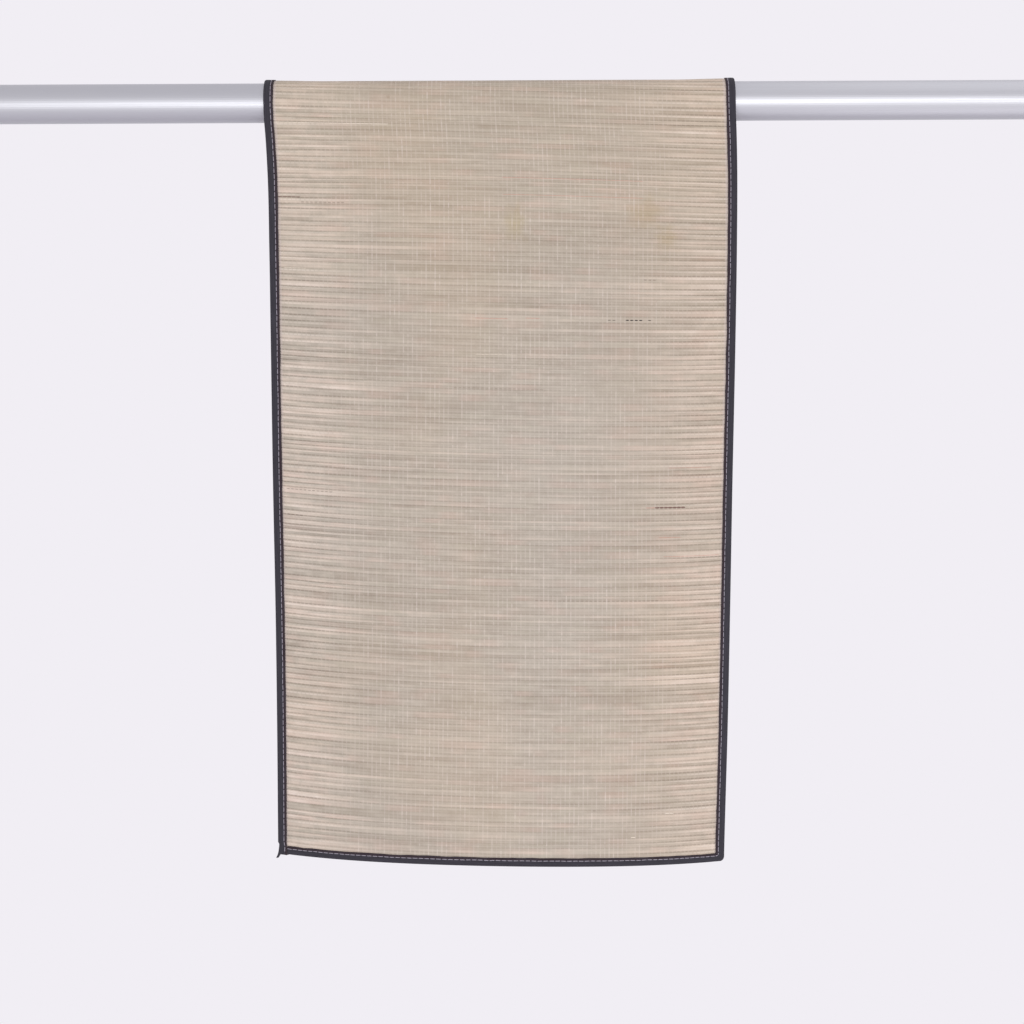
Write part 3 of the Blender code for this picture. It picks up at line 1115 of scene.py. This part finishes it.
def seam_holes(runs, corners):
    """Needle holes round the mat, as places across and along it."""
    holes = []
    for run, corner in zip(runs[:3], corners[:3]):
        holes += [stitch_place(station) for station in run[::3]]
        middle = corner[CORNER_STEPS // 2]
        holes.append(stitch_place(middle))
    holes += [stitch_place(station) for station in runs[3][::3]]
    holes += [stitch_place(station) for station in (corners[3][3], corners[3][6])]
    return np.array(holes)


def stitch_bead():
    """One stitch, lying along Z and one unit long: a rounded bar of thread."""
    shape = bmesh.new()
    bmesh.ops.create_cone(shape, cap_ends=True, segments=6, radius1=0.5, radius2=0.5, depth=1.0)
    rims = [edge for edge in shape.edges if abs(edge.verts[0].co.z - edge.verts[1].co.z) < 1e-6]
    bmesh.ops.bevel(
        shape, geom=rims, offset=0.16, segments=1, profile=0.5, affect="EDGES", material=-1
    )
    mesh = bpy.data.meshes.new("stitch bead")
    shape.to_mesh(mesh)
    shape.free()
    return mesh


def build_stitches(holes, material):
    """A bead for each stitch, between its two needle holes, on both faces of the mat."""
    chance = np.random.default_rng(31)
    holes = holes + chance.normal(0.0, STITCH_SLIP, holes.shape)
    bead = stitch_bead()
    shape = bmesh.new()
    for face in (1, -1):
        knots = off_cloth(holes[:, 0], holes[:, 1], np.full(len(holes), face * STITCH_LIFT))
        pairs = list(zip(knots[:-1], knots[1:]))
        for first in range(0, len(pairs), STITCH_BATCH):
            batch = bmesh.new()
            for start, end in pairs[first : first + STITCH_BATCH]:
                start, end = Vector(start), Vector(end)
                turn = (end - start).to_track_quat("Z", "Y").to_matrix().to_4x4()
                size = Matrix.Diagonal((THREAD, THREAD, (end - start).length - STITCH_GAP, 1.0))
                before = len(batch.verts)
                batch.from_mesh(bead)
                batch.verts.ensure_lookup_table()
                where = Matrix.Translation((start + end) / 2) @ turn @ size
                bmesh.ops.transform(batch, matrix=where, verts=batch.verts[before:])
            made = bpy.data.meshes.new("stitch batch")
            batch.to_mesh(made)
            batch.free()
            shape.from_mesh(made)
            bpy.data.meshes.remove(made)
    bpy.data.meshes.remove(bead)
    return add_piece("stitches", shape, material)


def sewing_thread():
    """Spun polyester thread: pale lilac-grey, paler and darker where its plies turn, with a faint
    lustre from its smooth fibres."""
    material, shader = new_finish("polyester thread, spun", THREAD_COLOUR, 0.60)
    shader.inputs["Sheen Weight"].default_value = 0.1
    place = add_node(material, "ShaderNodeTexCoord", {}).outputs["Object"]
    plies = add_node(
        material, "ShaderNodeTexNoise", {"Vector": place, "Scale": 1 / PLY, "Detail": 2.0}
    ).outputs["Fac"]
    value = add_node(
        material,
        "ShaderNodeMapRange",
        {"Value": plies, "From Min": 0.3, "From Max": 0.7, "To Min": 0.84, "To Max": 1.16},
    ).outputs["Result"]
    shaded = add_node(
        material, "ShaderNodeHueSaturation", {"Color": hex_colour(THREAD_COLOUR), "Value": value}
    ).outputs["Color"]
    material.node_tree.links.new(shaded, shader.inputs["Base Color"])
    bump = add_node(material, "ShaderNodeBump", {"Height": plies, "Strength": 0.3, "Distance": 0.0001})
    material.node_tree.links.new(bump.outputs["Normal"], shader.inputs["Normal"])
    return material


stitches = build_stitches(seam_holes(tape_runs, tape_corners), sewing_thread())
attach(stitches, "root")
